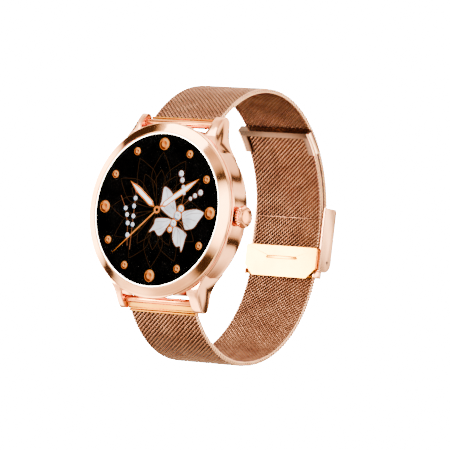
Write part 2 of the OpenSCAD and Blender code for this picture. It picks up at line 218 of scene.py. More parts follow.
# --- Finishes ---------------------------------------------------------------
# Every finish is made from nodes on the piece's own coordinates. Grain sizes
# are real millimetres, so the noise scale is 1000 over the size.
def metal(name, light, deep, rough=(0.08, 0.16), grain=0.35, stretch=(1, 1, 1), bump=0.15, patch=6.0, hollow_shade=None):
    """Metal whose colour drifts between two tones, with fine polishing marks, and with painted shade in its hollows
    when a shade colour is given.
    """
    mat, tree = new_material(name)
    coords = add(tree, "ShaderNodeTexCoord")
    drift = add(tree, "ShaderNodeTexNoise", {"Scale": 1000 / patch, "Detail": 4.0, "Roughness": 0.6},
                {"Vector": coords.outputs["Object"]})
    colour = add(tree, "ShaderNodeValToRGB", {"stops": ((0.32, deep), (0.68, light))}, {"Fac": drift.outputs[0]}).outputs[0]
    pulled = add(tree, "ShaderNodeMapping", {"Scale": stretch}, {"Vector": coords.outputs["Object"]})
    marks = add(tree, "ShaderNodeTexNoise", {"Scale": 1000 / grain, "Detail": 5.0, "Roughness": 0.65},
                {"Vector": pulled.outputs["Vector"]})
    # Painted shade: ambient occlusion blends the shade colour into hollows and into the gaps between wires.
    if hollow_shade:
        hollow = add(tree, "ShaderNodeAmbientOcclusion", {"Distance": 0.6 * MM, "samples": 4})
        reach = add(tree, "ShaderNodeMapRange", {"From Min": 0.3, "From Max": 0.95}, {"Value": hollow.outputs["AO"]})
        blended = add(tree, "ShaderNodeMix", {"data_type": "RGBA", 6: linear(hollow_shade)},
                      {0: reach.outputs["Result"], 7: colour})
        colour = blended.outputs[2]
    rubbed = add(tree, "ShaderNodeMapRange", {"To Min": rough[0], "To Max": rough[1]}, {"Value": marks.outputs[0]})
    relief = add(tree, "ShaderNodeBump", {"Strength": bump, "Distance": 0.01 * MM}, {"Height": marks.outputs[0]})
    skin = add(tree, "ShaderNodeBsdfPrincipled", {"Metallic": 1.0, "Specular Tint": (1, 0.96, 0.9, 1)},
               {"Base Color": colour, "Roughness": rubbed.outputs["Result"], "Normal": relief.outputs["Normal"]})
    to_surface(tree, skin.outputs[0])
    return mat


def plastic(name, light, deep, rough=(0.35, 0.5), grain=0.25, bump=0.25, coat=0.0, specular=0.5):
    """Moulded plastic, rubber or lacquer with a fine grain and slight colour drift."""
    mat, tree = new_material(name)
    coords = add(tree, "ShaderNodeTexCoord")
    drift = add(tree, "ShaderNodeTexNoise", {"Scale": 250.0, "Detail": 3.0}, {"Vector": coords.outputs["Object"]})
    fine = add(tree, "ShaderNodeTexNoise", {"Scale": 1000 / grain, "Detail": 4.0}, {"Vector": coords.outputs["Object"]})
    worn = add(tree, "ShaderNodeMapRange", {"To Min": rough[0], "To Max": rough[1]}, {"Value": drift.outputs[0]})
    relief = add(tree, "ShaderNodeBump", {"Strength": bump, "Distance": 0.01 * MM}, {"Height": fine.outputs[0]})
    skin = add(tree, "ShaderNodeBsdfPrincipled", {"Coat Weight": coat, "Coat Roughness": 0.04, "Specular IOR Level": specular},
               {"Base Color": add(tree, "ShaderNodeValToRGB", {"stops": ((0.3, deep), (0.7, light))}, {"Fac": drift.outputs[0]}).outputs[0],
                "Roughness": worn.outputs["Result"], "Normal": relief.outputs["Normal"]})
    to_surface(tree, skin.outputs[0])
    return mat


def lit_ink(name, light, deep, level, patch=1.2):
    """Light from the display: a glow whose tone drifts a little, over black."""
    mat, tree = new_material(name)
    coords = add(tree, "ShaderNodeTexCoord")
    drift = add(tree, "ShaderNodeTexNoise", {"Scale": 1000 / patch, "Detail": 3.0}, {"Vector": coords.outputs["Object"]})
    glow = add(tree, "ShaderNodeEmission", {"Strength": level},
               {"Color": add(tree, "ShaderNodeValToRGB", {"stops": ((0.35, deep), (0.65, light))}, {"Fac": drift.outputs[0]}).outputs[0]})
    to_surface(tree, glow.outputs[0])
    return mat


polished = metal("polished_rose_gold", "#f6b380", "#e9a06a", rough=(0.05, 0.10), bump=0.06)
case_gold = metal("satin_polished_rose_gold", "#eda87b", "#dc9366", rough=(0.07, 0.13), bump=0.10)
pale_rose = metal("pale_rose_gold", "#f4c09c", "#eab08a", rough=(0.12, 0.22), bump=0.12)
orange_rose = metal("orange_rose_gold", "#dd8847", "#bb662c", rough=(0.10, 0.20), bump=0.10)
# The crown, the woven wire and the braided edge wire take painted shade in their hollows.
crown_gold = metal("knurled_rose_gold", "#e39a68", "#c87c4c", rough=(0.10, 0.18), bump=0.08, hollow_shade="#8c4a2c")
wing_gold = metal("brushed_pale_rose", "#e3a987", "#d99d79", rough=(0.18, 0.28), bump=0.12)
pale_gold = metal("pale_yellow_gold", "#cc8d12", "#b5780a", rough=(0.16, 0.28), bump=0.15)
mesh_gold = metal("drawn_rose_wire", "#976a50", "#704735", rough=(0.22, 0.36), grain=0.2, bump=0.1, patch=3.0, hollow_shade="#472514")
edge_gold = metal("braided_edge_wire", "#e2ae8a", "#c99470", rough=(0.16, 0.28), grain=0.2, bump=0.1, patch=3.0, hollow_shade="#4a2618")
# A dark wire tone used as painted shade: the sheet inside the woven strap and the back of the lock plate's slot.
shade_sheet_gold = metal("shadowed_inner_wire", "#6a402a", "#4c2a18", rough=(0.35, 0.5), grain=0.2, patch=2.0)
# A darker copy of the rose gold: painted shade for the keeper parts inside the strap loop.
keeper_shade_gold = metal("shaded_satin_rose_gold", "#5a4034", "#4e3427", rough=(0.20, 0.32), grain=0.25, stretch=(1, 1, 6), bump=0.2)
# A dark copy of the pin metal: painted shade for the hinge pin end in its recess.
shaded_pin_steel = metal("shadowed_pin_end", "#3c2e27", "#2a1f1a", rough=(0.3, 0.45), bump=0.1)
steel = metal("bright_steel", "#d8d6d2", "#bdbab5", rough=(0.12, 0.22), bump=0.1)
# The rim is a real part; its near-white tone is a painted highlight of the polished chamfer round the glass.
rim_highlight_silver = metal("rim_highlight_steel", "#fbfaf8", "#e8e6e2", rough=(0.10, 0.18), bump=0.05)
contact_gold = metal("plated_contact_gold", "#f5cf7a", "#e2b55a", rough=(0.12, 0.22), bump=0.1)
foil = metal("battery_foil", "#c9c9c8", "#acacad", rough=(0.28, 0.42), grain=0.8, bump=0.5)
rubber = plastic("black_silicone_rubber", "#1b1a19", "#121110", rough=(0.55, 0.75), bump=0.35)
black_plastic = plastic("black_moulded_plastic", "#1d1c1c", "#131212", rough=(0.35, 0.5))
white_plastic = plastic("white_moulded_plastic", "#e9e7e3", "#dcd9d4", rough=(0.35, 0.5))
board_green = plastic("green_circuit_board", "#1e5b3a", "#14452b", rough=(0.3, 0.45), coat=0.4)
sensor_black = plastic("smoked_sensor_glass", "#0c0b10", "#050507", rough=(0.05, 0.1), bump=0.02, coat=0.8)
display_black = plastic("black_display", "#020202", "#000000", rough=(0.25, 0.35), bump=0.02, specular=0.0)

thin_glass, tree = new_material("clear_cover_glass")
coords = add(tree, "ShaderNodeTexCoord")
smear = add(tree, "ShaderNodeTexNoise", {"Scale": 120.0, "Detail": 3.0}, {"Vector": coords.outputs["Object"]})
wiped = add(tree, "ShaderNodeMapRange", {"To Min": 0.01, "To Max": 0.05}, {"Value": smear.outputs[0]})
clear = add(tree, "ShaderNodeBsdfTransparent", {"Color": (0.97, 0.97, 0.98, 1)})
shine = add(tree, "ShaderNodeBsdfGlossy", {"Color": (0.9, 0.92, 0.95, 1)}, {"Roughness": wiped.outputs["Result"]})
edge = add(tree, "ShaderNodeFresnel", {"IOR": 1.45})
facing = add(tree, "ShaderNodeNewGeometry")
outer_only = add(tree, "ShaderNodeMath", {"operation": "SUBTRACT"}, {0: edge.outputs[0], 1: facing.outputs["Backfacing"]})
glancing = add(tree, "ShaderNodeMapRange", {"From Min": 0.06, "From Max": 1.0}, {"Value": outer_only.outputs[0]})
mixed = add(tree, "ShaderNodeMixShader", links={0: glancing.outputs["Result"], 1: clear.outputs[0], 2: shine.outputs[0]})
to_surface(tree, mixed.outputs[0])

ink_black_line = lit_ink("faint_brown_ink", "#4a2e1a", "#32200f", 0.9)
ink_orange = lit_ink("orange_ink", "#f58a3c", "#d96a20", 1.7)
ink_white = lit_ink("white_ink", "#ffffff", "#f4f2f0", 3.2)
ink_wing = lit_ink("pearl_wing_ink", "#ffffff", "#c2c4ca", 2.2, patch=2.8)
ink_brown = lit_ink("copper_line_ink", "#b06a44", "#8a4a2a", 1.2)


# --- Case -------------------------------------------------------------------
# The case band is one turned surface with a flat gap at each end for the
# strap, and four lugs with rounded edges and flared roots grow out of it.
def place(obj, body, *cad, slot=None):
    """Ties a finished piece to its body and hides the solids it stands for; slot is not used."""
    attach(obj, body)
    if cad:
        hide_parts(*cad)
    return obj


def face_out(data):
    shape = bmesh.new()
    shape.from_mesh(data)
    bmesh.ops.recalc_face_normals(shape, faces=shape.faces)
    shape.to_mesh(data)
    shape.free()


def build(name, points, faces, paints, crease=35, which=None):
    """A mesh piece from points in millimetres, faces outward, sharp only past the crease angle."""
    data = bpy.data.meshes.new(name)
    data.from_pydata([tuple(p) for p in np.asarray(points, float) * MM], [], faces)
    for paint in paints:
        data.materials.append(paint)
    face_out(data)
    if which is not None:
        data.polygons.foreach_set("material_index", which)
    data.polygons.foreach_set("use_smooth", [True] * len(data.polygons))
    data.set_sharp_from_angle(angle=math.radians(crease))
    obj = bpy.data.objects.new(name, data)
    bpy.context.scene.collection.objects.link(obj)
    return obj


def ring_faces(rows, cols, first=0, loop=False):
    """Quads between successive rings of cols points; loop joins the last ring to the first."""
    out = []
    for i in range(rows if loop else rows - 1):
        a, b = first + i * cols, first + ((i + 1) % rows) * cols
        out += [(a + j, a + (j + 1) % cols, b + (j + 1) % cols, b + j) for j in range(cols)]
    return out


def turned_piece(name, profile, paints, steps=192, axis="Y", at=(0, 0, 0), wave=None, shape=None, crease=35):
    """Turns a (radius, height) profile about Y (height towards the viewer, -Y) or about X. A profile that
    starts and ends at radius 0 closes on its poles; any other closes on itself. wave(angle, k) scales a row's radius."""
    poles = profile[0][0] == 0 and profile[-1][0] == 0
    rows = profile[1:-1] if poles else profile
    turn = np.arange(steps) * 2 * math.pi / steps
    points = []
    for k, (r, h) in enumerate(rows):
        rr = r * (wave(turn, k) if wave else np.ones(steps))
        if axis == "Y":
            ring = np.stack([rr * np.cos(turn), np.full(steps, -h), rr * np.sin(turn)], 1)
        else:
            ring = np.stack([np.full(steps, h), rr * np.cos(turn), rr * np.sin(turn)], 1)
        points.append(ring)
    points = np.concatenate(points)
    faces = ring_faces(len(rows), steps, loop=not poles)
    if poles:
        tips = [[0, -profile[0][1], 0], [0, -profile[-1][1], 0]] if axis == "Y" else [[profile[0][1], 0, 0], [profile[-1][1], 0, 0]]
        n = len(points)
        points = np.concatenate([points, tips])
        last = (len(rows) - 1) * steps
        faces += [(j, (j + 1) % steps, n) for j in range(steps)]
        faces += [(last + j, last + (j + 1) % steps, n + 1) for j in range(steps)]
    if shape:
        points = shape(points)
    return build(name, points + np.array(at, float), faces, paints, crease)


def smooth_line(points, per=8, closed=False):
    """A Catmull-Rom curve through the points, per steps to each span."""
    p = np.asarray(points, float)
    n = len(p)
    spans = n if closed else n - 1
    get = (lambda i: p[i % n]) if closed else (lambda i: p[min(max(i, 0), n - 1)])
    out = []
    for i in range(spans):
        a, b, c, d = get(i - 1), get(i), get(i + 1), get(i + 2)
        for k in range(per):
            t = k / per
            out.append(0.5 * (2 * b + (c - a) * t + (2 * a - 5 * b + 4 * c - d) * t ** 2 + (3 * b - a - 3 * c + d) * t ** 3))
    if not closed:
        out.append(p[-1])
    return np.array(out)


def strap_gap(points):
    """Presses the band flat between the lugs, where the strap ends sit."""
    p = points.copy()
    h, r = -p[:, 1], np.hypot(p[:, 0], p[:, 2])
    low = (np.abs(p[:, 0]) < 9.6) & (h < 8.2) & (r > 16.5)
    p[low, 2] = np.clip(p[low, 2], -17.55, 17.55)
    return p


flank = smooth_line([(17.3, 1.8), (18.25, 2.2), (18.75, 2.9), (18.88, 3.8), (18.9, 5.0), (18.9, 6.2)], 4)
flank_top = smooth_line([(18.9, 6.22), (18.9, 7.0), (18.9, 7.7), (18.82, 7.95), (18.45, 8.08)], 4)
band = [(16.4, 1.8)] + [tuple(v) for v in flank] + [tuple(v) for v in flank_top] + [(16.4, 8.08)]
place(turned_piece("case_band", band, [case_gold], steps=288, shape=strap_gap), "case", "mid_case", slot="polished_rose_gold")

LUG_SIDE = smooth_line([(7.95, 12), (7.85, 16), (7.5, 17.3), (6.75, 18.8), (5.9, 20), (5.1, 20.8), (4.5, 21.05), (3.9, 20.95),
                        (3.4, 20.5), (3.15, 19.8), (3.1, 17.5), (2.9, 15.6), (2.2, 12)], 5)


def lug(name, sx, sz):
    """One lug: its side outline repeated across the width, drawn in at both sides for rounded edges. The
    outer side is pushed out at the root, and pulled in towards the tip and towards the dial."""
    line = LUG_SIDE
    step = np.gradient(line, axis=0)
    inward = np.stack([-step[:, 1], step[:, 0]], 1) * -1
    inward /= np.linalg.norm(inward, axis=1, keepdims=True)
    middle = line.mean(0)
    if ((middle - line[len(line) // 2]) @ inward[len(line) // 2]) < 0:
        inward = -inward
    taper, slope = (0.7, 1.3) if sx < 0 else (0.2, 0.4)
    rows = []
    for x, draw in ((9.2, 0.2), (9.23, 0.09), (9.3, 0.02), (9.4, 0.0), (10.2, 0.0), (11.0, 0.0),
                    (11.8, 0.0), (11.9, 0.02), (11.97, 0.09), (12.0, 0.2)):
        hz = line + inward * draw
        outer = (x - 9.2) / 2.8
        root, tip = np.clip((17.5 - hz[:, 1]) / 5, 0, 1), np.clip((hz[:, 1] - 15.8) / 5.2, 0, 1)
        lean = np.clip((hz[:, 1] - 14.6) / 3.4, 0, 1) * np.clip((hz[:, 0] - 3.0) / 4.5, 0, 1)
        flare = outer * (2.0 * root ** 2 - taper * tip ** 1.5 - slope * lean) - 0.5 * (1 - outer) * np.clip((18.6 - hz[:, 1]) / 1.1, 0, 1) ** 2
        rows.append(np.stack([sx * (x + flare), -hz[:, 0], sz * hz[:, 1]], 1))
    points = np.concatenate(rows)
    n = len(line)
    faces = ring_faces(len(rows), n) + [tuple(range(n)), tuple(range((len(rows) - 1) * n, len(rows) * n))]
    return build(name, points, faces, [case_gold], 55)


for sx, sz, tag in ((-1, 1, "upper_left"), (1, 1, "upper_right"), (-1, -1, "lower_left"), (1, -1, "lower_right")):
    place(lug("lug_" + tag, sx, sz), "case", slot="polished_rose_gold")


# --- Bezel, glass and back --------------------------------------------------
# The bezel stands on the band over a dark seal line. A rim holds the
# cover glass, its near-white tone a painted highlight of a polished chamfer,
# and the display sits just under it.
bezel_top = [(16.72, 9.95), (16.8, 9.94), (17.4, 9.68), (18.0, 9.41), (18.55, 9.16), (18.8, 8.98), (18.9, 8.75),
             (18.9, 8.58), (18.85, 8.47), (18.7, 8.42)]
bezel_line = [(16.62, 8.42), (16.62, 9.84), (16.66, 9.91)] + [tuple(v) for v in smooth_line(bezel_top, 5)]
place(turned_piece("bezel_ring", bezel_line, [polished], steps=288, crease=28), "case", "bezel", slot="polished_rose_gold")
place(turned_piece("bezel_seal_line", [(16.7, 8.0), (18.3, 8.0), (18.3, 8.5), (16.7, 8.5)], [rubber]), "case", slot="black_rubber")
rim_line = [(16.3, 8.8), (16.3, 9.84), (16.36, 9.88), (16.52, 9.88), (16.6, 9.82), (16.6, 8.8)]
place(turned_piece("rim_ring", rim_line, [rim_highlight_silver], steps=240, crease=50), "case", "screen_rim", slot="silver_rim")
place(turned_piece("glass_sheet", [(0, 9.80), (8, 9.80), (16.2, 9.80), (16.28, 9.81), (16.28, 9.83), (16.2, 9.85), (8, 9.85), (0, 9.85)],
                   [thin_glass], steps=192), "case", "cover_glass", slot="screen_glass")
place(turned_piece("display_disc", [(0, 8.5), (16.1, 8.5), (16.26, 8.6), (16.26, 9.62), (16.15, 9.68), (8, 9.68), (0, 9.68)],
                   [display_black], steps=192), "case", "display_panel", slot="dark_glass")

place(turned_piece("back_plate", [(10.12, 1.75), (10.12, 0.62), (10.25, 0.5), (12, 0.5), (16.4, 0.62), (16.9, 0.8), (17.25, 1.2), (17.3, 1.75)],
                   [pale_rose], steps=240), "case", "case_back", slot="pale_rose_gold")
place(turned_piece("sensor_dome", [(0, 1.5), (9.8, 1.5), (9.98, 1.4), (9.98, 0.5), (9.6, 0.28), (7, 0.08), (4, 0.02), (0, 0.0)],
                   [sensor_black], steps=160), "case", "sensor_window", slot="dark_glass")
for k, (x, z) in enumerate(((0, 0), (3.4, 0), (-3.4, 0), (0, 3.4), (0, -3.4))):
    place(turned_piece("sensor_lens_%d" % k, [(0, 0.2), (1.05, 0.2), (1.1, 0.12), (0.9, 0.02), (0, -0.02)],
                       [steel if k else white_plastic], steps=40, at=(x, 0, z)), "case", slot="white_plastic")


def back_screw(x, z, k):
    """A countersunk screw head with a straight slot, seen on the back plate."""
    turn = np.arange(32) * 2 * math.pi / 32
    rows = [(0.75, 1.3), (0.75, 0.62), (0.68, 0.5), (0.3, 0.47)]
    points = np.concatenate([np.stack([r * np.cos(turn), np.full(32, -h), r * np.sin(turn)], 1) for r, h in rows])
    points[-32:, 1] = np.where(np.abs(points[-32:, 2]) < 0.14, -0.62, points[-32:, 1])
    faces = ring_faces(4, 32) + [tuple(range(32)), tuple(range(96, 128))]
    return build("back_screw_%d" % k, points + np.array((x, 0, z), float), faces, [steel])


for k, (x, z) in enumerate(((10.9, 9.7), (-10.9, 9.7), (10.9, -9.7), (-10.9, -9.7))):
    screw = place(back_screw(x, z, k), "case", slot="steel")
    if k == 0:
        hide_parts("back_screws")


# --- Dial -------------------------------------------------------------------
# The lit face is thin raised artwork between the display and the glass:
# petals, hour gems, hands, a butterfly and two strings of gems.
ART = 9.69


def flat_art(name, outlines, paint, h0, h1=None):
    """Fills closed (x, z) outlines and gives them a small thickness."""
    points, faces = [], []
    h1 = h1 or h0 + 0.012
    for line in outlines:
        line = np.asarray(line, float)
        n, base = len(line), len(points)
        points += [(x, -h0, z) for x, z in line] + [(x, -h1, z) for x, z in line]
        for tri in tessellate_polygon([[Vector((x, z, 0)) for x, z in line]]):
            faces += [tuple(base + i for i in tri), tuple(base + n + i for i in reversed(tri))]
        faces += [(base + i, base + (i + 1) % n, base + n + (i + 1) % n, base + n + i) for i in range(n)]
    return place(build(name, points, faces, [paint], 20), "case", slot="screen_glass")


def stroke(line, width, closed=False):
    """The outline of a pen stroke along an (x, z) line, as one quad strip polygon list."""
    line = np.asarray(line, float)
    if closed:
        line = np.vstack([line, line[:1]])
    step = np.gradient(line, axis=0)
    if closed:
        step[0] = step[-1] = line[1] - line[-2]
    across = np.stack([-step[:, 1], step[:, 0]], 1)
    across /= np.linalg.norm(across, axis=1, keepdims=True) + 1e-9
    a, b = line + across * width / 2, line - across * width / 2
    return [[a[i], a[i + 1], b[i + 1], b[i]] for i in range(len(line) - 1)]


def dot(x, z, r, n=24):
    t = np.arange(n) * 2 * math.pi / n
    return np.stack([x + r * np.cos(t), z + r * np.sin(t)], 1)


def spun(line, degrees):
    """An (x, z) outline drawn towards twelve o'clock, turned clockwise by degrees."""
    a = math.radians(degrees)
    line = np.asarray(line, float)
    return np.stack([line[:, 0] * math.cos(a) + line[:, 1] * math.sin(a), -line[:, 0] * math.sin(a) + line[:, 1] * math.cos(a)], 1)


petals = []
for k in range(12):
    for reach, wide in ((12.35, 2.5), (8.6, 1.7)):
        half_petal = smooth_line([(0, 0.6), (wide * 0.62, reach * 0.34), (wide, reach * 0.62), (wide * 0.42, reach * 0.88), (0, reach)], 6)
        for sign in (-1, 1):
            petals += stroke(spun(half_petal * (sign, 1), 30 * k), 0.13)
flat_art("petal_lines", petals, ink_black_line, ART)


def gems(name, items, paint, h0, rim=None, rim_width=0.16):
    """Faceted stones (x, z, radius): a flat table, eight kite facets and a girdle."""
    points, faces, rims = [], [], []
    for x, z, r in items:
        base = len(points)
        for k in range(8):
            a = math.pi / 4 * k + math.pi / 8
            points += [(x + r * math.cos(a), -h0, z + r * math.sin(a)), (x + r * math.cos(a), -h0 - 0.01, z + r * math.sin(a)),
                       (x + 0.6 * r * math.cos(a + math.pi / 8), -h0 - 0.06, z + 0.6 * r * math.sin(a + math.pi / 8))]
        for k in range(8):
            n = (k + 1) % 8
            a, b, c = (base + 3 * k + i for i in range(3))
            d, e, f = (base + 3 * n + i for i in range(3))
            faces += [(a, d, e, b), (b, e, c), (c, e, f)]
        points.append((x, -h0 - 0.035, z))
        faces += [(base + 3 * k + 2, base + 3 * ((k + 1) % 8) + 2, base + 24) for k in range(8)]
        faces.append(tuple(base + 3 * k for k in range(8)))
        rims += stroke(dot(x, z, r + rim_width / 2), rim_width, True)
    gem_obj = place(build(name, points, faces, [paint], 1), "case", slot="screen_glass")
    if rim:
        flat_art(name + "_settings", rims, rim, h0 + 0.005)
    return gem_obj


def facet_ink(name, tones, level):
    """Stones in the display: each facet takes its tone from the way it faces."""
    mat, tree = new_material(name)
    facing = add(tree, "ShaderNodeNewGeometry")
    parts = add(tree, "ShaderNodeSeparateXYZ", links={"Vector": facing.outputs["True Normal"]})
    turn = add(tree, "ShaderNodeMath", {"operation": "MULTIPLY_ADD", 1: 5.5, 2: 0.5}, {0: parts.outputs["X"]})
    tilt = add(tree, "ShaderNodeMath", {"operation": "MULTIPLY_ADD", 1: 4.0}, {0: parts.outputs["Z"], 2: turn.outputs[0]})
    glow = add(tree, "ShaderNodeEmission", {"Strength": level},
               {"Color": add(tree, "ShaderNodeValToRGB", {"stops": tuple(zip((0.1, 0.5, 0.9), tones))},
                             {"Fac": tilt.outputs[0]}).outputs[0]})
    to_surface(tree, glow.outputs[0])
    return mat


amber = facet_ink("amber_stone", ("#6a2202", "#ff7a12", "#ffb060"), 1.7)
crystal = facet_ink("crystal_stone", ("#6d7f92", "#dfe7ee", "#ffffff"), 2.4)
hours = [(14.14 * math.sin(math.radians(30 * k)), 14.14 * math.cos(math.radians(30 * k)), 1.2 if k % 3 == 0 else 0.73) for k in range(12)]
gems("hour_stones", hours, amber, ART + 0.01, rim=ink_orange, rim_width=0.1)

upper_left = smooth_line([(1.14, 4.67), (1.91, 4.93), (3.41, 3.93), (4.46, 2.26), (5.24, -.28), (4.49, -1.6), (.97, .37), (.98, 2.09)], 6, True)
lower_left = smooth_line([(.22, -1.81), (-.4, -3.13), (-1.48, -4.91), (-.21, -4.41), (1.02, -5.43), (2.05, -5.16),
                          (3.17, -3.6), (3.99, -1.84)], 6, True)
upper_right = smooth_line([(6.74, -.42), (8.25, .3), (10.36, .62), (12.03, .27), (12.51, -.24), (11.51, -1.69),
                           (10.39, -3.24), (9.12, -3.74), (7.88, -3.58)], 6, True)
lower_right = smooth_line([(8.44, -4.63), (8.36, -5.92), (7.73, -8.6), (7.24, -7.48), (6.18, -7.53), (5.18, -6.29),
                           (4.86, -5.02), (5.28, -3.28)], 6, True)
wings = [upper_left, lower_left, upper_right, lower_right]
flat_art("wing_fields", wings, ink_wing, ART + 0.002)
flat_art("wing_lines", sum((stroke(w, 0.2, True) for w in wings), []), ink_brown, ART + 0.015)
root = np.array((5.4, -1.6))
veins = []
for w in wings:
    for k in range(4, len(w), 9):
        mid = (root * 0.45 + w[k] * 0.55) + np.array((-(w[k] - root)[1], (w[k] - root)[0])) * 0.05
        veins += stroke(smooth_line([root * 0.7 + w[k] * 0.3, mid, root * 0.08 + w[k] * 0.92], 5), 0.1)
flat_art("wing_veins", veins, ink_brown, ART + 0.016)
body_gems = [(6.33, .53, .7), (5.62, -1.01, .9), (4.73, -2.67, .75), (4.04, -3.99, .5)]
feelers = [(5.37, 8.0, .65), (5.84, 6.62, .55), (6.32, 5.14, .45), (6.65, 3.87, .4), (11.04, 4.2, .6), (9.67, 3.48, .5), (8.56, 2.78, .4)]
flat_art("feeler_lines", stroke(smooth_line([(6.4, 1.2), (6.65, 3.87), (6.32, 5.14), (5.37, 8.0)], 6), 0.12)
         + stroke(smooth_line([(6.5, 1.1), (8.56, 2.78), (9.67, 3.48), (11.04, 4.2)], 6), 0.12), ink_brown, ART + 0.004)
gems("body_stones", body_gems, crystal, ART + 0.02, rim=ink_orange, rim_width=0.2)
gems("feeler_stones", feelers, crystal, ART + 0.02, rim=ink_brown, rim_width=0.12)
strings = stroke([(-10.14, 2.61), (-8.52, -.1), (-7.52, -3.27), (-6.94, -8.07)], 0.12)
strings += stroke([(-6.23, 5.38), (-6.16, 2.16), (-6.19, -1.7), (-6.15, -8.89)], 0.12)
flat_art("string_lines", strings, ink_brown, ART + 0.004)
gems("string_stones", [(-8.52, -.1, .5), (-7.92, -1.47, .5), (-7.52, -3.27, .5), (-7.19, -5.83, .55), (-6.16, 2.16, .5), (-6.31, .44, .5),
                       (-6.19, -1.7, .5), (-6.13, -3.52, .5)], crystal, ART + 0.02)


def hand(name, length, wide, degrees, h):
    """A lance hand: an orange outline and a white fill that both end in a point."""
    def lance(w, a, b):
        return [(0, a), (w / 2, a + w * 0.9), (w / 2 * 1.05, b * 0.72), (0, b), (-w / 2 * 1.05, b * 0.72), (-w / 2, a + w * 0.9)]
    flat_art(name + "_edge", [spun(lance(wide, 1.0, length), degrees)], ink_orange, h)
    flat_art(name + "_fill", [spun(lance(wide * 0.55, 1.8, length - 1.0), degrees)], ink_white, h + 0.014)


hand("hour_hand", 9.85, 1.35, 306, ART + 0.03)
hand("minute_hand", 12.6, 1.3, 55.5, ART + 0.03)
flat_art("second_hand", [spun([(-0.16, -2.2), (0.16, -2.2), (0.13, 9), (0, 14.7), (-0.13, 9)], 227.7)], ink_orange, ART + 0.05)
flat_art("hand_hub", [dot(0, 0, 0.8, 32)], ink_orange, ART + 0.065)
flat_art("hand_hub_eye", [dot(0, 0, 0.38, 24)], display_black, ART + 0.078, ART + 0.085)


# --- Crown ------------------------------------------------------------------
# The crown has 24 rounded flutes between two smooth shoulders and a domed
# cap. It turns about its own stem, which stays the drawn solid.
def flutes(turn, k):
    """Radius factor of a row: full on the shoulders, and dipping between 24 ridges on the grip."""
    depth = (0, 0, 0.03, 0.11, 0.13, 0.13, 0.13, 0.11, 0.03, 0, 0)[min(k, 10)]
    return 1 - depth * (0.5 - 0.5 * np.cos(24 * turn)) ** 0.7


crown_line = [(0, 19.35), (1.6, 19.35), (2.1, 19.4), (2.3, 19.5), (2.38, 19.6), (2.4, 19.75), (2.4, 20.0),
              (2.4, 20.25), (2.4, 20.42), (2.38, 20.52), (2.3, 20.58)]
crown_line += [(2.22 * math.cos(math.radians(t)), 20.62 + 0.62 * math.sin(math.radians(t))) for t in range(0, 90, 9)] + [(0, 21.24)]
place(turned_piece("crown_grip", crown_line, [crown_gold], steps=240, axis="X", at=(0, -5.6, 0), wave=flutes, crease=60),
      "crown_knob", "crown", slot="orange_rose_gold")


# --- Strap ------------------------------------------------------------------
# Woven wire: flattened coils run across the width, set half a turn
# on from the last, over a dark inner sheet of painted shade, with braided side edges.
UPPER_START, LOWER_START = 137.6, 219.8     # where each strap leaves its clamp, in degrees round its ellipse
TAIL_OFF = -1.5                             # the tail runs this far inside the upper strap's outer line


def on_ellipse(centre, wide, high, t, off):
    """Points at t degrees round an ellipse in the (y, z) plane, moved by off along the outward normal."""
    c, s = np.cos(np.radians(t)), np.sin(np.radians(t))
    n = np.stack([c / wide, s / high], -1)
    n /= np.linalg.norm(n, axis=-1, keepdims=True)
    return np.stack([centre[0] + wide * c, centre[1] + high * s], -1) + off * n


def arch(t, off=0.0):
    """The upper strap's outer ellipse."""
    return on_ellipse((14.9, 1), 24.8, 28.75, t, off)


def bowl(t, off=0.0):
    """The lower strap's outer line: two half ellipses that share their height."""
    return on_ellipse((13.5, -5), np.where(t < 270, 22.3, 24.7), 25.6, t, off)


def evenly(line, spacing):
    """Resamples an open (y, z) line by arc length; returns points, tangents and left-hand normals."""
    step = np.linalg.norm(np.diff(line, axis=0), axis=1)
    s = np.concatenate([[0], np.cumsum(step)])
    count = max(2, int(round(s[-1] / spacing)) + 1)
    at = np.linspace(0, s[-1], count)
    p = np.stack([np.interp(at, s, line[:, 0]), np.interp(at, s, line[:, 1])], 1)
    t = np.gradient(p, axis=0)
    t /= np.linalg.norm(t, axis=1, keepdims=True)
    return p, t, np.stack([-t[:, 1], t[:, 0]], 1)


def fast_mesh(name, points, sets, paints, indices):
    """A mesh from numpy arrays of points (mm) and of faces with the same corner count in each set."""
    data = bpy.data.meshes.new(name)
    loops = np.concatenate([f.ravel() for f in sets])
    sizes = np.concatenate([np.full(len(f), f.shape[1]) for f in sets])
    data.vertices.add(len(points))
    data.vertices.foreach_set("co", (points * MM).astype(np.float32).ravel())
    data.loops.add(len(loops))
    data.loops.foreach_set("vertex_index", loops.astype(np.int32))
    data.polygons.add(len(sizes))
    data.polygons.foreach_set("loop_start", np.concatenate([[0], np.cumsum(sizes)[:-1]]).astype(np.int32))
    for paint in paints:
        data.materials.append(paint)
    data.polygons.foreach_set("material_index", np.concatenate([np.full(len(f), i) for f, i in zip(sets, indices)]).astype(np.int32))
    data.polygons.foreach_set("use_smooth", np.ones(len(sizes), bool))
    data.update(calc_edges=True)
    data.validate()
    obj = bpy.data.objects.new(name, data)
    bpy.context.scene.collection.objects.link(obj)
    return obj


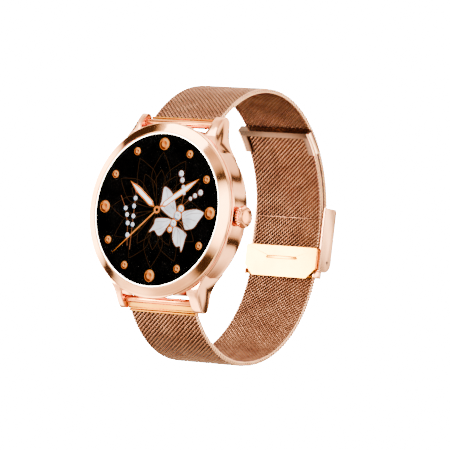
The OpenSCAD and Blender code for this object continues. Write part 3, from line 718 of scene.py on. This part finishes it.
def wires(paths, radius, sides, outward):
    """Round wires along paths (count, steps, 3). outward is a unit vector at each step, square enough to the
    path to hold the section. Returns points, side quads and end caps."""
    count, steps, _ = paths.shape
    along = np.gradient(paths, axis=1)
    along /= np.linalg.norm(along, axis=2, keepdims=True)
    out = outward - along * (outward * along).sum(2, keepdims=True)
    out /= np.linalg.norm(out, axis=2, keepdims=True)
    third = np.cross(along, out)
    a = np.arange(sides) * 2 * math.pi / sides
    rings = paths[:, :, None] + radius * (out[:, :, None] * np.cos(a)[None, None, :, None] + third[:, :, None] * np.sin(a)[None, None, :, None])
    base = np.arange(count)[:, None, None] * steps * sides
    i = np.arange(steps - 1)[None, :, None] * sides
    j = np.arange(sides)[None, None, :]
    k = (j + 1) % sides
    quads = np.stack(np.broadcast_arrays(base + i + j, base + i + k, base + i + sides + k, base + i + sides + j), -1).reshape(-1, 4)
    first = base[:, 0, :] + np.arange(sides)[::-1][None]
    last = base[:, 0, :] + (steps - 1) * sides + np.arange(sides)[None]
    return rings.reshape(-1, 3), quads, np.concatenate([first, last])


def woven(name, outer, flip, spacing=0.45, turns=16, wire=0.175):
    """A woven wire strap under an outer (y, z) line. Each coil is x = along the width with the turn,
    reach along the strap times its cosine, and half the thickness times its sine."""
    p, t, n = evenly(outer, spacing)
    n = n * flip
    p = p - n * MESH_T / 2
    p, t, n = p[1:-1], t[1:-1], n[1:-1]
    count, steps = len(p), turns * 8 + 1
    turn = np.linspace(0, 2 * math.pi * turns, steps)[None] + math.pi * (np.arange(count)[:, None] % 2)
    x = np.broadcast_to(np.linspace(-HALF_W + 0.45, HALF_W - 0.45, steps), (count, steps))
    lift = np.sign(np.sin(turn)) * np.abs(np.sin(turn)) ** 0.7
    reach, rise = 0.46 * np.cos(turn), (MESH_T / 2 - wire) * lift
    y = p[:, :1] + t[:, :1] * reach + n[:, :1] * rise
    z = p[:, 1:] + t[:, 1:] * reach + n[:, 1:] * rise
    paths = np.stack([x, y, z], 2)
    out = np.stack([np.zeros_like(turn), t[:, :1] * np.cos(turn) + n[:, :1] * np.sin(turn),
                    t[:, 1:] * np.cos(turn) + n[:, 1:] * np.sin(turn)], 2)
    points, quads, caps = wires(paths, wire, 4, out)
    edge_p, _, edge_n = evenly(outer, 0.2)
    edge_n = edge_n * flip
    s = np.arange(len(edge_p)) * 0.2
    edge_paths, edge_out = [], []
    for sx in (-1, 1):
        for half in (0, math.pi):
            a = 2 * math.pi * s / 1.4 + half
            off = -MESH_T / 2 + 0.38 * np.sin(a)
            at = edge_p + edge_n * off[:, None]
            edge_paths.append(np.column_stack([sx * (HALF_W - 0.28 + 0.06 * np.cos(a)), at]))
            edge_out.append(np.stack([np.full_like(s, sx), np.zeros_like(s), np.zeros_like(s)], 1))
    ep, eq, ec = wires(np.array(edge_paths), 0.18, 6, np.array(edge_out))
    # A dark sheet inside the coils: painted shade between the wires, which also keeps the backdrop from showing
    # through.
    core_p, _, core_n = evenly(outer, 1.0)
    core_n = core_n * flip
    m = len(core_p)
    corners = []
    for sx, depth in ((-1, 0.4), (1, 0.4), (1, 0.8), (-1, 0.8)):
        corners.append(np.column_stack([np.full(m, sx * (HALF_W - 0.33)), core_p - core_n * depth]))
    core = np.stack(corners, 1).reshape(-1, 3)
    i, j = np.meshgrid(np.arange(m - 1) * 4, np.arange(4), indexing="ij")
    cq = np.stack([i + j, i + (j + 1) % 4, i + 4 + (j + 1) % 4, i + 4 + j], -1).reshape(-1, 4)
    cc = np.array([[3, 2, 1, 0], [4 * m - 4, 4 * m - 3, 4 * m - 2, 4 * m - 1]])
    n1, n2 = len(points), len(points) + len(ep)
    obj = fast_mesh(name, np.concatenate([points, ep, core]),
                    [quads, caps, eq + n1, ec + n1, cq + n2, cc + n2],
                    [mesh_gold, shade_sheet_gold, edge_gold], [0, 0, 2, 2, 1, 1])
    face_out(obj.data)
    return obj


upper_line = np.concatenate([arch(np.linspace(UPPER_START, 0, 260)), [[39.7, -2.6]]])
place(woven("upper_mesh", upper_line, 1), "upper_band", "upper_strap", slot="rose_mesh")
lower_line = bowl(np.linspace(LOWER_START, 360, 280))
tail_line = np.concatenate([[[38.2, -5.0]], arch(np.linspace(0, 52, 130), TAIL_OFF)])
place(woven("lower_mesh", lower_line, -1), "lower_band", "lower_strap", slot="rose_mesh")
place(woven("tail_mesh", tail_line, -1), "lower_band", slot="rose_mesh")


# --- Strap ends -------------------------------------------------------------
# At each lug pair a sleeve covers the spring bar, and a ridged clamp holds
# the woven end to it.
def rod_piece(name, x0, x1, at, r, paint, round_end=0.12, steps=48):
    """A bar along X with eased ends."""
    line = [(0, x0), (r - round_end, x0), (r - round_end * 0.3, x0 + round_end * 0.3), (r, x0 + round_end),
            (r, x1 - round_end), (r - round_end * 0.3, x1 - round_end * 0.3), (r - round_end, x1), (0, x1)]
    return turned_piece(name, line, [paint], steps=steps, axis="X", at=(0, at[0], at[1]), crease=40)


seam = arch(np.array([6.7]), TAIL_OFF - MESH_T)[0]
place(rod_piece("tail_seam_wire", -HALF_W + 0.3, HALF_W - 0.3, seam, 0.1, mesh_gold, 0.05, 16), "lower_band", slot="rose_mesh")


def bar_of(name, outline, x0, x1, paint, ease=0.12):
    """A (y, z) outline carried across X, drawn in by ease at both ends."""
    line = np.asarray(outline, float)
    nxt, prv = np.roll(line, -1, 0) - line, line - np.roll(line, 1, 0)
    area = np.sum(line[:, 0] * np.roll(line[:, 1], -1) - np.roll(line[:, 0], -1) * line[:, 1])
    edge = nxt / np.linalg.norm(nxt, axis=1, keepdims=True) + prv / np.linalg.norm(prv, axis=1, keepdims=True)
    inward = np.stack([-edge[:, 1], edge[:, 0]], 1) * (1 if area > 0 else -1)
    inward /= np.linalg.norm(inward, axis=1, keepdims=True) + 1e-9
    n = len(line)
    rows = [(x0, ease), (x0 + ease * 0.35, ease * 0.3), (x0 + ease, 0), (x1 - ease, 0), (x1 - ease * 0.35, ease * 0.3), (x1, ease)]
    points = np.concatenate([np.column_stack([np.full(n, x), line + inward * d]) for x, d in rows])
    faces = ring_faces(len(rows), n) + [tuple(range(n)), tuple(range(5 * n, 6 * n))]
    return build(name, points, faces, [paint], 30)


SLEEVE_R = 0.82


def clamp_outline(foot, n, s):
    """Section of the ridged clamp: two raised lips over the woven end, and a waist round the sleeve."""
    along = np.array((-n[1], n[0])) * s
    bar = np.array((BAR_Y, s * LUG_REACH))
    face = [(0.78, 0.02), (0.84, 0.08), (0.84, 0.26), (0.7, 0.34), (0.25, 0.36), (0.25, 0.56), (0.7, 0.58), (0.8, 0.64), (0.8, 0.82), (0.6, 0.95)]
    pts = [foot + a * n + b * along for a, b in face]
    pts += [bar + (-0.15, 0.62 * s), bar + (0.65, 0.2 * s), bar + (0.6, -0.3 * s)]
    pts += [foot - a * n + b * along for a, b in ((0.8, 0.9), (0.8, 0.02))]
    return pts


for side_name, s, line, start in (("upper", 1, arch, UPPER_START), ("lower", -1, bowl, LOWER_START)):
    point = line(np.array([start]))[0]
    n = line(np.array([start]), 1.0)[0] - point
    body = side_name + "_band"
    place(rod_piece(side_name + "_sleeve_tube", -HALF_W + 0.1, HALF_W - 0.1, (BAR_Y, s * LUG_REACH), SLEEVE_R, orange_rose), body,
          side_name + "_sleeve", slot="orange_rose_gold")
    foot = point - n * MESH_T / 2
    place(bar_of(side_name + "_clamp_bar", clamp_outline(foot, n, s), -HALF_W, HALF_W, pale_gold, 0.15), body,
          side_name + "_clamp", slot="pale_gold")


# --- Clasp ------------------------------------------------------------------
# The cover plate with its side wings folds over the crossed strap ends. The
# base holds its pin, and the small lock plate with a slot hangs inside.
COVER_OUT, COVER_IN, TOP, LOW = 40.9, 36.7, 6.7, -7.5
LEFT_IN = 38.2                              # the left wing stops short of the tail
ROUND, LOW_ROUND = 0.7, 2.3                 # corner radii of the cover
PIN, PLATE_PIN = (39.2, -5.2), (36.33, -8.78)
PLATE_FRONT, PLATE_BACK = 36.0, 36.6
SLOT_X, SLOT_Z, SLOT_HALF, SLOT_R = 0.25, -4.9, 3.85, 0.3


def corner(c, r, a0, a1, n=7):
    """Points on a round corner, angles in degrees in the (y, z) plane."""
    return [(c[0] + r * math.cos(math.radians(a)), c[1] + r * math.sin(math.radians(a))) for a in np.linspace(a0, a1, n)]


sheet_line = [(40.1, PIN[1] - 0.1), (COVER_OUT - 0.1, PIN[1] - 0.1), (COVER_OUT, PIN[1])]
sheet_line += corner((COVER_OUT - ROUND, TOP - ROUND), ROUND, 0, 90) + [(40.1, TOP)]


def wing_line(inner):
    """Side outline of a wing whose strap edge is at y = inner."""
    return ([(inner, LOW + 0.25), (inner, TOP)] + corner((COVER_OUT - ROUND, TOP - ROUND), ROUND, 90, 0)
            + corner((COVER_OUT - LOW_ROUND, LOW + LOW_ROUND), LOW_ROUND, 0, -90, 10))


place(bar_of("cover_sheet", sheet_line, -10.25, 10.25, pale_rose, 0.1), "cover", "clasp_cover", slot="pale_rose_gold")
for tag, x0, x1, inner in (("left", -10.3, -9.7, LEFT_IN), ("right", 9.7, 10.3, COVER_IN)):
    place(bar_of("cover_wing_" + tag, wing_line(inner), x0, x1, wing_gold, 0.14), "cover", slot="pale_rose_gold")
# The hinge pin is coloured dark as painted shade.
place(rod_piece("cover_hinge_pin", -10.33, 10.33, PIN, 0.4, shaded_pin_steel, 0.08, 32), "lower_band", "cover_pin", slot="steel")

base_sole = [(38.28, -3.6), (38.7, -3.6), (38.7, -8.9), (38.28, -8.9)]
place(bar_of("base_sole", base_sole, -9.6, 9.6, case_gold, 0.08), "lower_band", "clasp_base", slot="polished_rose_gold")
place(rod_piece("base_barrel", -9.55, 9.55, PIN, 0.72, case_gold), "lower_band", slot="polished_rose_gold")
ear = [(38.7, -3.6), (36.75, -3.6), (36.75, -7.6), (36.0, -8.1), (36.0, -8.7), (36.2, -8.9), (38.5, -8.9), (38.7, -8.7)]
for tag, x0, x1 in (("left", -9.6, -9.15), ("right", 9.15, 9.6)):
    place(bar_of("base_side_" + tag, ear, x0, x1, case_gold, 0.08), "lower_band", slot="polished_rose_gold")


def plate_points():
    """Lock plate face: clipped lower corners and a slot with round ends, joined by a bridge edge."""
    half, low, high, cut = 9.65, -9.1, -2.3, 2.2
    outer = [(-half + cut, low), (half - cut, low), (half, low + cut), (half, high - 0.3), (half - 0.3, high),
             (-half + 0.3, high), (-half, high - 0.3), (-half, low + cut)]
    hole = [(SLOT_X + side * SLOT_HALF + SLOT_R * math.cos(a), SLOT_Z + SLOT_R * math.sin(a))
            for side, first in ((1, -math.pi / 2), (-1, math.pi / 2)) for a in np.linspace(first, first + math.pi, 9)]
    return outer, hole


outer, hole = plate_points()
flat = [[Vector((x, z, 0)) for x, z in outer], [Vector((x, z, 0)) for x, z in hole]]
tris = tessellate_polygon(flat)
ring_all = outer + hole
n_all, n_out = len(ring_all), len(outer)
points = [(x, PLATE_FRONT, z) for x, z in ring_all] + [(x, PLATE_BACK, z) for x, z in ring_all]
faces = [tuple(t) for t in tris] + [tuple(n_all + i for i in reversed(t)) for t in tris]
faces += [(i, (i + 1) % n_out, n_all + (i + 1) % n_out, n_all + i) for i in range(n_out)]
m = len(hole)
faces += [(n_out + i, n_all + n_out + i, n_all + n_out + (i + 1) % m, n_out + (i + 1) % m) for i in range(m)]
plate_obj = build("lock_plate_face", points, faces, [pale_gold], 1)
ease = plate_obj.modifiers.new("eased_edges", "BEVEL")
ease.width, ease.segments, ease.limit_method, ease.angle_limit = 0.1 * MM, 2, "ANGLE", math.radians(40)
place(plate_obj, "plate", "lock_plate", slot="pale_gold")
# The slot's back is painted shade in the dark wire tone; its floor is pale gold.
for tag, y0, y1, half_z, half_x, paint, soft in (("back", 36.34, 36.55, 0.38, 4.2, shade_sheet_gold, 0.05),
                                                 ("floor", 36.06, 36.4, 0.18, 3.97, pale_gold, 0.04)):
    box = [(y0, SLOT_Z - half_z), (y0, SLOT_Z + half_z), (y1, SLOT_Z + half_z), (y1, SLOT_Z - half_z)]
    place(bar_of("plate_slot_" + tag, box, SLOT_X - half_x, SLOT_X + half_x, paint, soft), "plate", slot="pale_gold")
place(rod_piece("plate_knuckle", -7.3, 7.3, PLATE_PIN, 0.3, pale_gold, 0.06, 32), "plate", slot="pale_gold")
place(rod_piece("plate_hinge_pin", -9.55, 9.55, PLATE_PIN, 0.2, pale_gold, 0.05, 24), "lower_band", "lock_plate_pin", slot="steel")
end_bar = [(38.38, -1.75), (38.45, -1.7), (39.77, -1.7), (39.84, -1.78), (39.84, -3.1), (39.75, -3.2), (38.47, -3.2), (38.38, -3.1)]
place(bar_of("strap_end_clip", end_bar, -8.9, 8.9, pale_rose, 0.1), "upper_band", "strap_end_bar", slot="rose_mesh")


# --- Keeper -----------------------------------------------------------------
# A folded sheet closes over the free end of the inner strap: two side
# flanges, a lip across the end and an open face between them.
def folded(t0, t1, off0, off1, n=18):
    """A curved slab section between two offsets of the upper ellipse."""
    t = np.linspace(t0, t1, n)
    return np.concatenate([arch(t, off0), arch(t[::-1], off1)])


FOOT, END, KEEPER_HALF = 39.4, 53.2, 9.6
# The shell, legs and end lip take the darker copy as painted shade; the side flanges keep the pale rose gold.
place(bar_of("keeper_shell", folded(49.6, END, -2.74, -3.12, 8), -KEEPER_HALF, KEEPER_HALF, keeper_shade_gold, 0.1),
      "lower_band", "tail_keeper", slot="rose_mesh")
for tag, x0, x1 in (("left", -KEEPER_HALF, -7.7), ("right", 7.7, KEEPER_HALF)):
    place(bar_of("keeper_leg_" + tag, folded(FOOT, 49.9, -2.74, -3.12), x0, x1, keeper_shade_gold, 0.08), "lower_band", slot="rose_mesh")
place(bar_of("keeper_end_lip", folded(52.15, END, TAIL_OFF, -2.9, 5), -KEEPER_HALF, KEEPER_HALF, keeper_shade_gold, 0.08), "lower_band", slot="rose_mesh")
for tag, x0, x1 in (("left", -KEEPER_HALF, -9.06), ("right", 9.06, KEEPER_HALF)):
    place(bar_of("keeper_flange_" + tag, folded(FOOT, END, TAIL_OFF, -3.15), x0, x1, pale_rose, 0.1), "lower_band", slot="rose_mesh")


# --- Carried-over solids ----------------------------------------------------
# Sealed and small parts keep their drawn solids and take the finish named
# for them, which is steel unless it's listed.
by_node = {"display_seal": rubber, "back_seal": rubber, "crown_seal": rubber, "sensor_board": board_green, "main_board": board_green,
           "board_chips": black_plastic, "charge_contacts": contact_gold, "inner_frame": black_plastic, "battery": foil,
           "crown_switch": black_plastic, "switch_plunger": white_plastic}
for name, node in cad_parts.items():
    node.data.materials.clear()
    node.data.materials.append(by_node.get(name.split("[")[0], steel))
